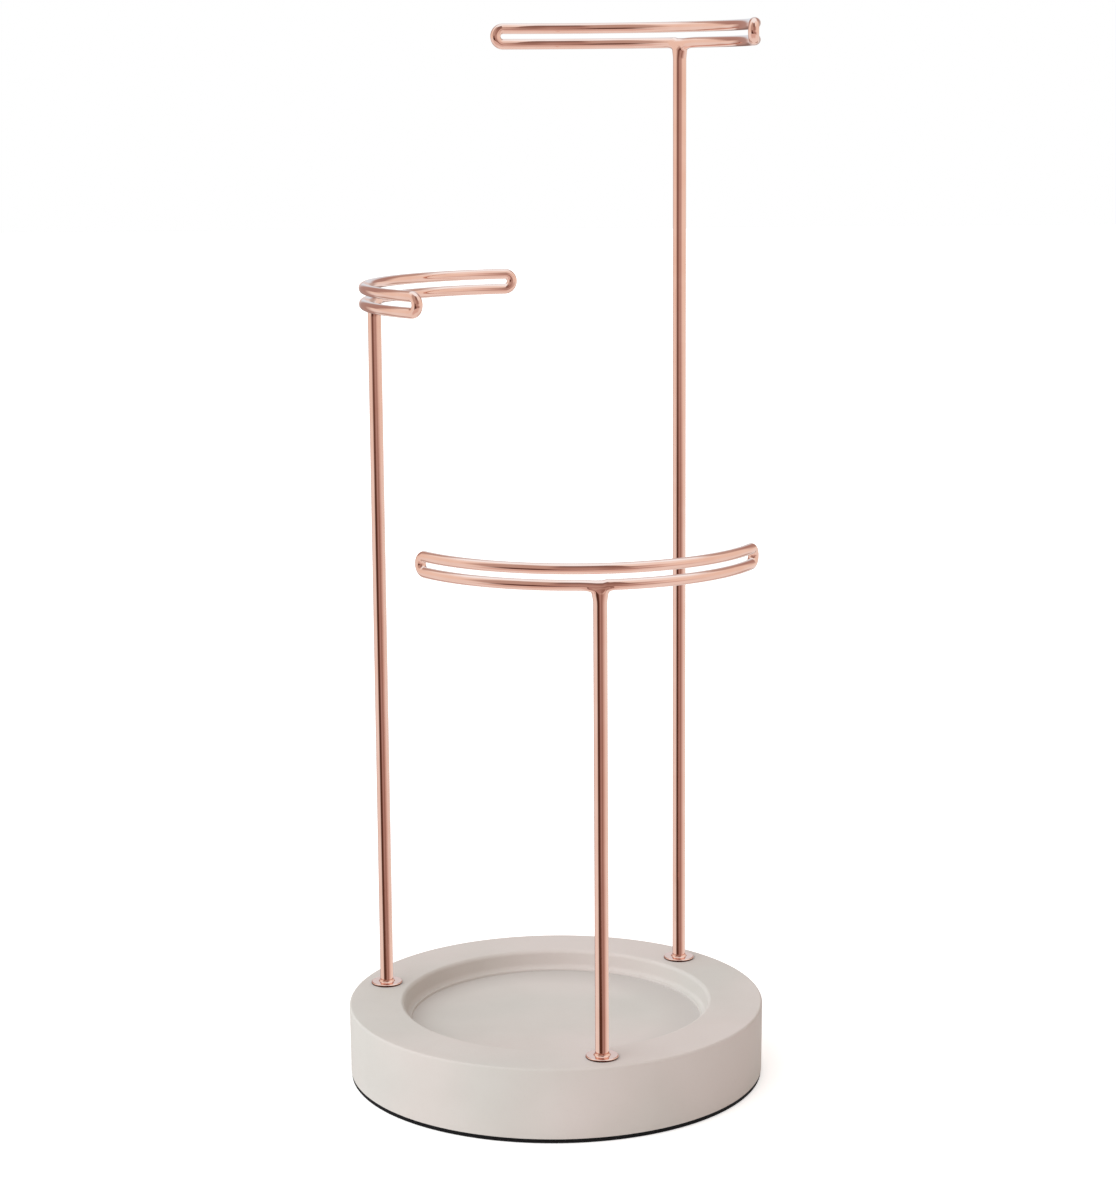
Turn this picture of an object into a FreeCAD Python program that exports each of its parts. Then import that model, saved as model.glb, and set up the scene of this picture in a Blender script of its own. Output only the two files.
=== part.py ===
import FreeCAD, Part
import os
import re

import Sketcher
from FreeCAD import Vector

# A three-tier jewellery stand: a heavy round base with a ring tray in its top, and three arms that
# stand on its rim. An arm is a post with a rack, a bent loop of wire, brazed to its top. Its foot turns
# in a sleeve in the base, held by a screw from below, so that the rack can be swung round and stays
# where it is put. Millimetres and degrees. +Z is up, and the origin is the centre of the underside.

# The arms in their order round the base, anticlockwise from above, an even step apart.
ARMS = ("low", "tall", "mid")
ARM_STEP = 360 / len(ARMS)

SIZES = (
    ("base_radius", 76, "rim of the base"),
    ("base_height", 25.5, "cast body without its pad"),
    ("base_draft", 0.2, "how much smaller in radius the foot of the wall is"),
    ("edge_round", 0.8, "round on the top edge of the base"),
    ("foot_round", 0.3, "round on the bottom edge of the base"),
    ("rim_width", 20, "flat rim between the edge of the base and the ring tray"),
    ("tray_depth", 7.5, "floor of the tray below the rim"),
    ("tray_lip_round", 1.6, "round on the mouth of the tray"),
    ("tray_slope", 0.8, "how far the tray wall leans in on its way down"),
    ("tray_cove", 1.8, "hollow round at the foot of the tray wall"),
    ("tray_ledge_height", 1, "drop from the hollow round to the floor"),
    ("pad_thickness", 1.5, "non-slip pad under the base"),
    ("pad_inset", 0.2, "edge of the pad inside the foot of the base"),
    ("pad_hole_clearance", 0.5, "hole in the pad round each screw well"),
    ("low_azimuth", -76, "direction of the low post, from +X"),
    ("low_height", 196, "middle of the low rack"),
    ("tier_height", 90, "each rack above the one below it"),
    ("low_turn", -8, "low rack turned from its central position"),
    ("mid_turn", 1, "middle rack turned from its central position"),
    ("tall_turn", 6, "tall rack turned from its central position"),
    ("rack_half_angle", 59.5, "arc of the rack to each side of its post"),
    ("wire_radius", 1.9, "wire of the racks"),
    ("slot_height", 1.8, "gap between the two strands of a rack"),
    ("post_radius", 2.4, "round bar of the posts"),
    ("post_end_drop", 1.2, "middle of the post's round end below the lower strand's middle"),
    ("braze_gap", 0.05, "gap that the brazing fills"),
    ("braze_fillet", 1.3, "hollow round of braze from the post to the wire"),
    ("braze_set_back", 0.8, "sides of that fillet inside the sides of the wire"),
    ("flange_radius", 5.8, "disc at the foot of the post"),
    ("flange_edge", 0.5, "disc at its edge"),
    ("flange_rise", 0.9, "disc at its neck"),
    ("neck_height", 0.8, "neck above the disc"),
    ("neck_lip", 0.2, "thickness of the neck at its top"),
    ("socket_wall", 1.55, "sleeve in the base"),
    ("socket_fit", 0.05, "glue round the sleeve"),
    ("socket_recess", 0.2, "top of the sleeve below the top of the base"),
    ("collar_width", 1, "collar on the lower end of the sleeve"),
    ("collar_thickness", 1.2, "that collar"),
    ("swivel_clearance", 0.05, "round the post in its sleeve"),
    ("post_end_gap", 0.3, "end of the post above the flat washer"),
    ("well_clearance", 0.5, "round the widest piece in the screw well"),
    ("screw_recess", 1.2, "screw head above the foot of the base"),
    ("screw_radius", 1.5, "M3 screw"),
    ("screw_length", 10, "under its head"),
    ("thread_clearance", 0.02, "round the screw in the post's tapped hole"),
    ("tapped_spare", 1.5, "tapped hole beyond the end of the screw"),
    ("head_radius", 2.75, "head of the screw"),
    ("head_height", 3, "head of the screw"),
    ("key_width", 2.5, "hexagon in the head, across its flats"),
    ("key_depth", 1.3, "hexagon in the head"),
    ("lock_washer_radius", 3.1, "split spring washer"),
    ("lock_washer_thickness", 0.8, "split spring washer"),
    ("lock_washer_split", 0.8, "cut through the spring washer"),
    ("washer_radius", 4.5, "flat washer"),
    ("washer_thickness", 0.8, "flat washer"),
    ("washer_clearance", 0.1, "round the screw in both washers"),
)
NAMES = {name for name, value, meaning in SIZES}

# Heights above the surface that the stand is on, from the screw's head up to the racks.
HEAD_FOOT = "(pad_thickness + screw_recess)"
HEAD_TOP = "(%s + head_height)" % HEAD_FOOT
LOCK_WASHER_TOP = "(%s + lock_washer_thickness)" % HEAD_TOP
WASHER_TOP = "(%s + washer_thickness)" % LOCK_WASHER_TOP
WELL_TOP = "(%s + collar_thickness)" % WASHER_TOP
POST_FOOT = "(%s + post_end_gap)" % WASHER_TOP
BASE_TOP = "(pad_thickness + base_height)"
TRAY_FLOOR = "(%s - tray_depth)" % BASE_TOP
RACK_HEIGHTS = {
    "low": "low_height",
    "mid": "(low_height + tier_height)",
    "tall": "(low_height + 2 * tier_height)",
}

# Radii. The posts stand in the middle of the rim, and a rack that isn't turned follows their circle.
TRAY_RADIUS = "(base_radius - rim_width)"
TRAY_FLOOR_RADIUS = "(%s - tray_slope - tray_cove)" % TRAY_RADIUS
POST_CIRCLE = "(base_radius - rim_width / 2)"
SOCKET_BORE = "(post_radius + swivel_clearance)"
SOCKET_RADIUS = "(%s + socket_wall)" % SOCKET_BORE
COLLAR_RADIUS = "(%s + collar_width)" % SOCKET_RADIUS
WIDEST_IN_WELL = "max(%s; washer_radius; lock_washer_radius; head_radius)" % COLLAR_RADIUS
WELL_RADIUS = "(%s + well_clearance)" % WIDEST_IN_WELL
FLANGE_BORE = "(post_radius + braze_gap)"
WASHER_BORE = "(screw_radius + washer_clearance)"
WIRE_SPACING = "(2 * wire_radius + slot_height)"

doc = FreeCAD.newDocument("JewelleryStand")
sheet = doc.addObject("Spreadsheet::Sheet", "Sizes")
for row, (name, value, meaning) in enumerate(SIZES, start=1):
    sheet.set("A%d" % row, name)
    sheet.set("B%d" % row, str(value))
    sheet.set("C%d" % row, meaning)
    sheet.setAlias("B%d" % row, name)
doc.recompute()


def formula(text):
    """Writes a formula of sizes the way the document reads it."""
    return re.sub(r"[a-z]\w*", lambda word: "Sizes." + word[0] if word[0] in NAMES else word[0], text)


def measure(text):
    """The present value of a formula of sizes."""
    return float(sheet.evalExpression(formula(text)))


def bind(item, **formulas):
    """Ties properties of an object to the sheet."""
    for name, text in formulas.items():
        item.setExpression(name, formula(text))


def put(item, x="0", y="0", z="0", yaw="0", pitch="0"):
    """Ties an object's place to the sheet: turned by pitch, then by yaw, then moved."""
    bind(item, Placement="placement(vector(%s; %s; %s); rotation(%s; %s; 0))" % (x, y, z, yaw, pitch))


def put_on_post_axis(item, arm, turned=False):
    """Moves a piece made round the Z axis to its arm's post, +X outwards, and turns it with its rack."""
    azimuth = "(low_azimuth + %g)" % (ARMS.index(arm) * ARM_STEP)
    yaw = azimuth + (" + %s_turn" % arm if turned else "")
    put(item, "%s * cos(%s)" % (POST_CIRCLE, azimuth), "%s * sin(%s)" % (POST_CIRCLE, azimuth), yaw=yaw)


# ---- Sketches and bodies

def new_body(name):
    body = doc.addObject("PartDesign::Body", name)
    body.Label = name
    return body


def plane(body, role):
    return next(feature for feature in body.Origin.OriginFeatures if feature.Role == role)


def new_sketch(body, name, role):
    sketch = body.newObject("Sketcher::SketchObject", name)
    sketch.AttachmentSupport = [(plane(body, role), "")]
    sketch.MapMode = "FlatFace"
    return sketch


def constrain(sketch, text, *constraint):
    """Adds a dimension to a sketch and ties it to the sheet."""
    index = sketch.addConstraint(Sketcher.Constraint(*constraint, measure(text)))
    sketch.setExpression("Constraints[%d]" % index, formula(text))


def arc_centre(start, end, radius, leftwards):
    """Centre of the short arc from start to end that turns left or right."""
    chord = end - start
    offset = max(radius ** 2 - (chord.Length / 2) ** 2, 0) ** 0.5
    side = Vector(-chord.y, chord.x, 0).normalize()
    return (start + end) / 2 + side * (offset if leftwards else -offset)


def angle_from(centre, point):
    return Vector(1, 0, 0).getAngle(point - centre) * (1 if point.y >= centre.y else -1)


def turned_outline(body, name, corners):
    """Closed outline in the body's XZ plane. A corner is a distance from the axis and a height, and,
    where an arc leads from it to the next corner, the arc's radius and the side that it turns to."""
    sketch = new_sketch(body, name, "XZ_Plane")
    points = [Vector(measure(corner[0]), measure(corner[1]), 0) for corner in corners]
    ends = []
    for corner, start, end in zip(corners, points, points[1:] + points[:1]):
        if len(corner) == 2:
            edge = sketch.addGeometry(Part.LineSegment(start, end))
            ends.append((edge, 1, 2))
            continue
        leftwards = corner[3] == "left"
        centre = arc_centre(start, end, measure(corner[2]), leftwards)
        first, last = (start, end) if leftwards else (end, start)
        circle = Part.Circle(centre, Vector(0, 0, 1), (first - centre).Length)
        arc = Part.ArcOfCircle(circle, angle_from(centre, first), angle_from(centre, last))
        edge = sketch.addGeometry(arc)
        ends.append((edge, 1, 2) if leftwards else (edge, 2, 1))
    for (edge, start, end), (following, next_start, next_end) in zip(ends, ends[1:] + ends[:1]):
        sketch.addConstraint(Sketcher.Constraint("Coincident", edge, end, following, next_start))
    for corner, (edge, start, end) in zip(corners, ends):
        if corner[0] == "0":
            sketch.addConstraint(Sketcher.Constraint("PointOnObject", edge, start, -2))
        else:
            constrain(sketch, corner[0], "DistanceX", -1, 1, edge, start)
        constrain(sketch, corner[1], "DistanceY", -1, 1, edge, start)
        if len(corner) == 4:
            constrain(sketch, corner[2], "Radius", edge)
    return sketch


def turn_solid(body, name, corners):
    """Turns an outline about the Z axis into the body's solid."""
    profile = turned_outline(body, name + "_outline", corners)
    turned = body.newObject("PartDesign::Revolution", name + "_turned")
    turned.Profile = profile
    turned.ReferenceAxis = (profile, ["V_Axis"])
    turned.Angle = 360
    return turned


def circle_sketch(body, name, radius, x="0"):
    sketch = new_sketch(body, name, "XY_Plane")
    edge = sketch.addGeometry(Part.Circle(Vector(measure(x), 0, 0), Vector(0, 0, 1), measure(radius)))
    sketch.addConstraint(Sketcher.Constraint("PointOnObject", edge, 3, -1))
    if x == "0":
        sketch.addConstraint(Sketcher.Constraint("PointOnObject", edge, 3, -2))
    else:
        constrain(sketch, x, "DistanceX", -1, 1, edge, 3)
    constrain(sketch, radius, "Radius", edge)
    return sketch


def hole_at_first_post(body, name, radius, height=None):
    """Cuts a round hole up from the XY plane on the low post's axis, to a height or right through."""
    sketch = circle_sketch(body, name + "_circle", radius, POST_CIRCLE)
    bind(sketch, **{"AttachmentOffset.Rotation.Angle": "low_azimuth"})
    hole = body.newObject("PartDesign::Pocket", name)
    hole.Profile = sketch
    hole.Reversed = True
    if height is None:
        hole.Type = "ThroughAll"
    else:
        bind(hole, Length=height)
    return hole


def repeat_for_arms(body, holes):
    """Repeats the low post's holes for the other posts."""
    pattern = body.newObject("PartDesign::PolarPattern", body.Name + "_holes")
    pattern.Originals = holes
    pattern.Axis = (holes[0].Profile[0], ["N_Axis"])
    pattern.Angle = 360
    pattern.Occurrences = len(ARMS)
    body.Tip = pattern


# ---- Base and pad

def make_base():
    """Cast body: a drafted round wall, a ring tray in the top, and a bore and a well for each post."""
    body = new_body("base")
    foot = "base_radius - base_draft"
    ledge = TRAY_FLOOR + " + tray_ledge_height"
    turn_solid(body, "base", (
        ("0", "pad_thickness"),
        (foot + " - foot_round", "pad_thickness", "foot_round", "left"),
        (foot, "pad_thickness + foot_round"),
        ("base_radius", BASE_TOP + " - edge_round", "edge_round", "left"),
        ("base_radius - edge_round", BASE_TOP),
        (TRAY_RADIUS + " + tray_lip_round", BASE_TOP, "tray_lip_round", "left"),
        (TRAY_RADIUS, BASE_TOP + " - tray_lip_round"),
        (TRAY_FLOOR_RADIUS + " + tray_cove", ledge + " + tray_cove", "tray_cove", "right"),
        (TRAY_FLOOR_RADIUS, ledge),
        (TRAY_FLOOR_RADIUS, TRAY_FLOOR),
        ("0", TRAY_FLOOR),
    ))
    repeat_for_arms(body, [
        hole_at_first_post(body, "base_bore", SOCKET_RADIUS + " + socket_fit"),
        hole_at_first_post(body, "base_well", WELL_RADIUS, WELL_TOP),
    ])
    return body


def make_pad():
    """Non-slip disc glued under the base, with a hole under each screw well."""
    body = new_body("pad")
    disc = body.newObject("PartDesign::Pad", "pad_disc")
    disc.Profile = circle_sketch(body, "pad_circle", "base_radius - base_draft - pad_inset")
    bind(disc, Length="pad_thickness")
    repeat_for_arms(body, [hole_at_first_post(body, "pad_hole", WELL_RADIUS + " + pad_hole_clearance")])
    return body


# ---- Pieces of one arm, each made round the Z axis and then put on its post's axis

def make_socket(arm):
    """Sleeve that the post turns in, with a collar against the top of the screw well."""
    body = new_body("socket_" + arm)
    sleeve_top = BASE_TOP + " - socket_recess"
    turn_solid(body, body.Name, (
        (SOCKET_BORE, WASHER_TOP),
        (COLLAR_RADIUS, WASHER_TOP),
        (COLLAR_RADIUS, WELL_TOP),
        (SOCKET_RADIUS, WELL_TOP),
        (SOCKET_RADIUS, sleeve_top),
        (SOCKET_BORE, sleeve_top),
    ))
    put_on_post_axis(body, arm)
    return body


def make_flange(arm):
    """Thin disc brazed to the post, with a neck round it, that lies on the top of the base."""
    body = new_body("flange_" + arm)
    neck_foot = BASE_TOP + " + flange_rise"
    turn_solid(body, body.Name, (
        (FLANGE_BORE, BASE_TOP),
        ("flange_radius", BASE_TOP),
        ("flange_radius", BASE_TOP + " + flange_edge"),
        (FLANGE_BORE + " + neck_lip + neck_height", neck_foot, "neck_height", "right"),
        (FLANGE_BORE + " + neck_lip", neck_foot + " + neck_height"),
        (FLANGE_BORE, neck_foot + " + neck_height"),
    ))
    put_on_post_axis(body, arm)
    return body


def make_washer(arm):
    """Flat washer under the collar of the sleeve."""
    body = new_body("flat_washer_" + arm)
    turn_solid(body, body.Name, (
        (WASHER_BORE, LOCK_WASHER_TOP),
        ("washer_radius", LOCK_WASHER_TOP),
        ("washer_radius", WASHER_TOP),
        (WASHER_BORE, WASHER_TOP),
    ))
    put_on_post_axis(body, arm, turned=True)
    return body


def make_lock_washer(arm):
    """Spring washer: a flat ring with a cut through one side."""
    name = "lock_washer_" + arm
    disc = doc.addObject("Part::Cylinder", name + "_disc")
    bind(disc, Radius="lock_washer_radius", Height="lock_washer_thickness")
    hole = doc.addObject("Part::Cylinder", name + "_hole")
    bind(hole, Radius=WASHER_BORE, Height="lock_washer_thickness")
    split = doc.addObject("Part::Box", name + "_split")
    bind(split, Length="lock_washer_radius", Width="lock_washer_split", Height="lock_washer_thickness")
    put(disc, z=HEAD_TOP)
    put(hole, z=HEAD_TOP)
    put(split, y="-lock_washer_split / 2", z=HEAD_TOP)
    washer = cut(name, disc, fuse(name + "_gap", hole, split))
    put_on_post_axis(washer, arm, turned=True)
    return washer


def make_screw(arm):
    """Cap screw with a hexagon in its head, threaded up into the post. Its thread is plain."""
    body = new_body("screw_" + arm)
    turn_solid(body, body.Name, (
        ("0", HEAD_FOOT),
        ("head_radius", HEAD_FOOT),
        ("head_radius", HEAD_TOP),
        ("screw_radius", HEAD_TOP),
        ("screw_radius", HEAD_TOP + " + screw_length"),
        ("0", HEAD_TOP + " + screw_length"),
    ))
    sketch = hexagon_sketch(body, body.Name + "_hexagon", "key_width")
    key = body.newObject("PartDesign::Pocket", body.Name + "_key")
    key.Profile = sketch
    key.Reversed = True
    bind(key, Length=HEAD_FOOT + " + key_depth")
    body.Tip = key
    put_on_post_axis(body, arm, turned=True)
    return body


def hexagon_sketch(body, name, width):
    """Regular hexagon round the Z axis, with its size across the flats."""
    sketch = new_sketch(body, name, "XY_Plane")
    corner_distance = measure(width) / 3 ** 0.5
    corners = []
    for number in range(6):
        turn = FreeCAD.Rotation(Vector(0, 0, 1), 60 * number)
        corners.append(turn.multVec(Vector(corner_distance, 0, 0)))
    sides = [sketch.addGeometry(Part.LineSegment(corners[i], corners[(i + 1) % 6])) for i in range(6)]
    guide = sketch.addGeometry(Part.Circle(Vector(), Vector(0, 0, 1), corner_distance), True)
    sketch.addConstraint(Sketcher.Constraint("Coincident", guide, 3, -1, 1))
    constrain(sketch, width + " / sqrt(3)", "Radius", guide)
    for side, following in zip(sides, sides[1:] + sides[:1]):
        sketch.addConstraint(Sketcher.Constraint("Coincident", side, 2, following, 1))
        sketch.addConstraint(Sketcher.Constraint("PointOnObject", side, 1, guide))
    for side in sides[1:]:
        sketch.addConstraint(Sketcher.Constraint("Equal", sides[0], side))
    sketch.addConstraint(Sketcher.Constraint("PointOnObject", sides[0], 1, -1))
    return sketch


def fuse(name, *items):
    joined = doc.addObject("Part::MultiFuse", name)
    joined.Shapes = list(items)
    return joined


def cut(name, base, tool):
    left = doc.addObject("Part::Cut", name)
    left.Base = base
    left.Tool = tool
    return left


def wire_arc(name, height, allowance="0"):
    """One long strand of a rack: an arc through the post's axis, bulging outwards."""
    arc = doc.addObject("Part::Torus", name)
    bind(arc, Radius1=POST_CIRCLE, Radius2="wire_radius + " + allowance, Angle3="2 * rack_half_angle")
    put(arc, "-" + POST_CIRCLE, "0", height, "-rack_half_angle")
    return arc


def wire_bend(name, height, side):
    """The half ring that joins the strands at one end, in the upright plane that runs on from the arc."""
    bend = doc.addObject("Part::Torus", name)
    bind(bend, Radius1=WIRE_SPACING + " / 2", Radius2="wire_radius")
    bend.Angle3 = 180
    angle = "%d * rack_half_angle" % side
    x = "%s * (cos(%s) - 1)" % (POST_CIRCLE, angle)
    y = "%s * sin(%s)" % (POST_CIRCLE, angle)
    put(bend, x, y, height, "%s + %d" % (angle, 90 - 90 * side), "-90")
    return bend


def make_rack(arm):
    """Closed loop of wire: two strands, one above the other, and a half ring at each end."""
    name = "rack_" + arm
    height = RACK_HEIGHTS[arm]
    rack = fuse(
        name,
        wire_arc(name + "_upper", "%s + %s / 2" % (height, WIRE_SPACING)),
        wire_arc(name + "_lower", "%s - %s / 2" % (height, WIRE_SPACING)),
        wire_bend(name + "_left", height, 1),
        wire_bend(name + "_right", height, -1),
    )
    put_on_post_axis(rack, arm, turned=True)
    return rack


def make_post(arm):
    """Round bar, tapped at its foot for the screw, its round end shaped to the lower wire and brazed on."""
    name = "post_" + arm
    wire_height = "(%s - %s / 2)" % (RACK_HEIGHTS[arm], WIRE_SPACING)
    end_height = "(%s - post_end_drop)" % wire_height
    shaft = doc.addObject("Part::Cylinder", name + "_shaft")
    bind(shaft, Radius="post_radius", Height=end_height + " - " + POST_FOOT)
    put(shaft, z=POST_FOOT)
    end = doc.addObject("Part::Sphere", name + "_end")
    bind(end, Radius="post_radius")
    put(end, z=end_height)
    tapping = doc.addObject("Part::Cylinder", name + "_tapping")
    tapping_top = HEAD_TOP + " + screw_length + tapped_spare"
    bind(tapping, Radius="screw_radius + thread_clearance", Height=tapping_top + " - " + POST_FOOT)
    put(tapping, z=POST_FOOT)
    bar = fuse(name + "_bar", shaft, end, braze_fillet(name, wire_height))
    saddle = wire_arc(name + "_saddle", wire_height, "braze_gap")
    post = cut(name, bar, fuse(name + "_cuts", saddle, tapping))
    put_on_post_axis(post, arm, turned=True)
    return post


def braze_fillet(name, wire_height):
    """Hollow round from the post out to the wire on each side: a flare round the post, trimmed to the
    wire's width."""
    body = new_body(name + "_flare")
    wire_foot = wire_height + " - wire_radius"
    turn_solid(body, body.Name, (
        ("0", wire_foot + " - braze_fillet"),
        ("post_radius", wire_foot + " - braze_fillet", "braze_fillet", "right"),
        ("post_radius + braze_fillet", wire_foot),
        ("post_radius + braze_fillet", wire_height),
        ("0", wire_height),
    ))
    band = doc.addObject("Part::Box", name + "_band")
    half_width = "(wire_radius - braze_set_back)"
    reach = "(post_radius + 2 * braze_fillet)"
    depth = "2 * (wire_radius + braze_fillet)"
    bind(band, Length="2 * " + half_width, Width="2 * " + reach, Height=depth)
    put(band, "-" + half_width, "-" + reach, wire_height + " - " + depth)
    fillet = doc.addObject("Part::Common", name + "_fillet")
    fillet.Base = body
    fillet.Tool = band
    return fillet


nodes = [make_base(), make_pad()]
for arm in ARMS:
    nodes += [make_socket(arm), make_washer(arm), make_lock_washer(arm), make_screw(arm)]
    nodes += [make_flange(arm), make_post(arm), make_rack(arm)]
doc.recompute()

for item in doc.Objects:
    if "Invalid" in item.State or "Error" in item.State:
        raise RuntimeError("%s failed: %s" % (item.Name, item.State))
for node in nodes:
    node.Label = node.Name
    if node.Shape.isNull() or not node.Shape.isValid():
        raise RuntimeError(node.Name + " has no valid shape")

os.makedirs("parts", exist_ok=True)
for node in nodes:
    node.Shape.exportStep("parts/%s.step" % node.Name)
    print("%-18s solids %d volume %.3f" % (node.Name, len(node.Shape.Solids), node.Shape.Volume))
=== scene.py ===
import math

import bmesh
import bpy
import numpy as np
from mathutils import Matrix, Vector


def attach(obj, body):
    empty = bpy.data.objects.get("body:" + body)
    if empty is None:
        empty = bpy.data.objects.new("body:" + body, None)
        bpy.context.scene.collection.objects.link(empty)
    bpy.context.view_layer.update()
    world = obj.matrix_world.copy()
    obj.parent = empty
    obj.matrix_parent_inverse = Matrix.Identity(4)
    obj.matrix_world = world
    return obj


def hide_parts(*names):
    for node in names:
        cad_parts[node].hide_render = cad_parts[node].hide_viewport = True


# The looks of a three-tier jewellery stand: a round base of cast stone with a ring tray, and three arms that
# turn in brass sleeves in the base. Each arm is a post, plated in copper, with a bent wire rack brazed to it.

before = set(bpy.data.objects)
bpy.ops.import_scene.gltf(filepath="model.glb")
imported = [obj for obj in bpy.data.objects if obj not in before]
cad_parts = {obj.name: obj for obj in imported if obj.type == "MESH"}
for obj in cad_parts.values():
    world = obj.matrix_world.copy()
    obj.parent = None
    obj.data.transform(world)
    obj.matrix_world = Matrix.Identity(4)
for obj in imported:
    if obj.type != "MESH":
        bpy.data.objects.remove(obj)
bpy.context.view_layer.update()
MM = 0.001

# ---- Sizes, in millimetres and degrees, from the maker's drawing

ARMS = ("low", "tall", "mid")
LOW_AZIMUTH = -76
ARM_STEP = 360 / len(ARMS)
TURN = {"low": -8, "tall": 6, "mid": 1}
LOW_HEIGHT = 196
TIER_HEIGHT = 90
RACK_HEIGHT = {"low": LOW_HEIGHT, "mid": LOW_HEIGHT + TIER_HEIGHT, "tall": LOW_HEIGHT + 2 * TIER_HEIGHT}

BASE_RADIUS = 76
BASE_HEIGHT = 25.5
BASE_DRAFT = 0.2
BASE_FOOT_ROUND = 0.3
BASE_EDGE_ROUND = 0.8
RIM_WIDTH = 20
TRAY_DEPTH = 7.5
TRAY_LIP_ROUND = 1.6
TRAY_SLOPE = 0.8
TRAY_COVE = 1.8
TRAY_LEDGE_HEIGHT = 1
TRAY_LEDGE_ROUND = 0.3
TRAY_LEDGE_DRAFT = 0.15
TRAY_LEDGE_FOOT_ROUND = 0.2
PAD_THICKNESS = 1.5
PAD_INSET = 0.2
PAD_FOOT_ROUND = 0.35
PAD_TOP_ROUND = 0.1
BASE_FOOT = PAD_THICKNESS
BASE_TOP = BASE_FOOT + BASE_HEIGHT
TRAY_RADIUS = BASE_RADIUS - RIM_WIDTH
TRAY_FLOOR = BASE_TOP - TRAY_DEPTH
TRAY_FLOOR_RADIUS = TRAY_RADIUS - TRAY_SLOPE - TRAY_COVE
PAD_RADIUS = BASE_RADIUS - BASE_DRAFT - PAD_INSET
POST_CIRCLE = BASE_RADIUS - RIM_WIDTH / 2

WIRE_RADIUS = 1.9
SLOT_HEIGHT = 1.8
RACK_HALF_ANGLE = 59.5
STRAND_SPACING = 2 * WIRE_RADIUS + SLOT_HEIGHT

POST_RADIUS = 2.4
POST_CHAMFER = 0.3
BRAZE_GAP = 0.05
FLANGE_RADIUS = 5.8
FLANGE_CHAMFER = 0.1
FLANGE_ROUND = 0.5
FLANGE_RISE = 0.9
FLANGE_FALL = 0.05
NECK_HEIGHT = 0.8
NECK_LIP = 0.2
NECK_SPREAD = 0.8
NECK_START = 35
NECK_STEPS = 10
FLANGE_BORE = POST_RADIUS + BRAZE_GAP
NECK_RADIUS = FLANGE_BORE + NECK_LIP
NECK_TOP = BASE_TOP + FLANGE_RISE + NECK_HEIGHT

# The round that takes the sharpness off a small edge, where nothing else is said.
FINE_ROUND = 0.1
SCREW_RADIUS = 1.5
SCREW_LENGTH = 10
SCREW_RECESS = 1.2
THREAD_PITCH = 0.5
THREAD_DEPTH = 0.16
# The thread starts this far from the head, and is whole this far from it.
THREAD_START = (0.6, 1.2)
POINT_CHAMFER = 0.3
POINT_HEIGHT = 0.4
HEAD_RADIUS = 2.75
HEAD_HEIGHT = 3
HEAD_ROUND = 0.3
HEAD_ROUND_HEIGHT = 0.35
KNURLS = 36
KNURL_DEPTH = 0.07
KEY_WIDTH = 2.5
KEY_DEPTH = 1.3
LOCK_WASHER_RADIUS = 3.1
LOCK_WASHER_THICKNESS = 0.8
# Its split leans by this much between the foot and the top of its cutting tool.
LOCK_WASHER_SPLIT = 0.8
SPLIT_SLANT = 0.5
SPLIT_TOOL_PAST = 0.7
WASHER_RADIUS = 4.5
WASHER_THICKNESS = 0.8
WASHER_CLEARANCE = 0.1
# A flat washer is punched: its upper outer edge is drawn down, and its lower bore keeps the sharpest edge.
WASHER_DRAWN_ROUND = 0.25
WASHER_ROUND = 0.12
WASHER_BURR_ROUND = 0.08
SWIVEL_CLEARANCE = 0.05
SOCKET_WALL = 1.55
SOCKET_GLUE = 0.05
SOCKET_RECESS = 0.2
SOCKET_TOP_ROUND = 0.25
SOCKET_MOUTH_ROUND = 0.2
COLLAR_WIDTH = 1
COLLAR_THICKNESS = 1.2
COLLAR_ROUND = 0.2
WELL_CLEARANCE = 0.5
WELL_CHAMFER = 0.4
PAD_HOLE_CLEARANCE = 0.5
POST_END_GAP = 0.3
THREAD_CLEARANCE = 0.02
TAPPED_SPARE = 1.5
TAPPED_CHAMFER = 0.2
DRILL_POINT = 0.9
# Up the well: the screw's head, the two washers, and the sleeve's collar, on which they pull.
HEAD_FOOT = PAD_THICKNESS + SCREW_RECESS
HEAD_TOP = HEAD_FOOT + HEAD_HEIGHT
LOCK_WASHER_TOP = HEAD_TOP + LOCK_WASHER_THICKNESS
WASHER_TOP = LOCK_WASHER_TOP + WASHER_THICKNESS
WASHER_BORE = SCREW_RADIUS + WASHER_CLEARANCE
COLLAR_FOOT = WASHER_TOP
WELL_TOP = COLLAR_FOOT + COLLAR_THICKNESS
SOCKET_TOP = BASE_TOP - SOCKET_RECESS
SOCKET_BORE = POST_RADIUS + SWIVEL_CLEARANCE
SOCKET_RADIUS = SOCKET_BORE + SOCKET_WALL
BORE_RADIUS = SOCKET_RADIUS + SOCKET_GLUE
COLLAR_RADIUS = SOCKET_RADIUS + COLLAR_WIDTH
WELL_RADIUS = COLLAR_RADIUS + WELL_CLEARANCE
PAD_HOLE_RADIUS = WELL_RADIUS + PAD_HOLE_CLEARANCE
POST_FOOT = WASHER_TOP + POST_END_GAP
TAPPED_RADIUS = SCREW_RADIUS + THREAD_CLEARANCE
TAPPED_TOP = HEAD_TOP + SCREW_LENGTH + TAPPED_SPARE

# The ends of two lines that lie this close together meet.
LINE_ENDS_MEET = 0.001
# The brazed joint's mesh. Vertices lie closer together on the strand within this angle of the post.
JOINT_ANGLE = 6.0
# The strand is opened this far to each side, and this many degrees round from its underside.
JOINT_OPENING = 4.2
JOINT_OPENING_TURN = 100
# Rings lead from there down to the post, which begins this far below the strand.
JOINT_RINGS = 16
JOINT_DEPTH = 7.0
# Vertices are moved on to the joint's surface within this reach along the strand, and no farther back.
JOINT_REACH = 12
JOINT_BACK = -4
# They are spread evenly this many times, as far as a little past the opening.
RELAX_TIMES = 60
RELAX_PAST = 1.2
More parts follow.
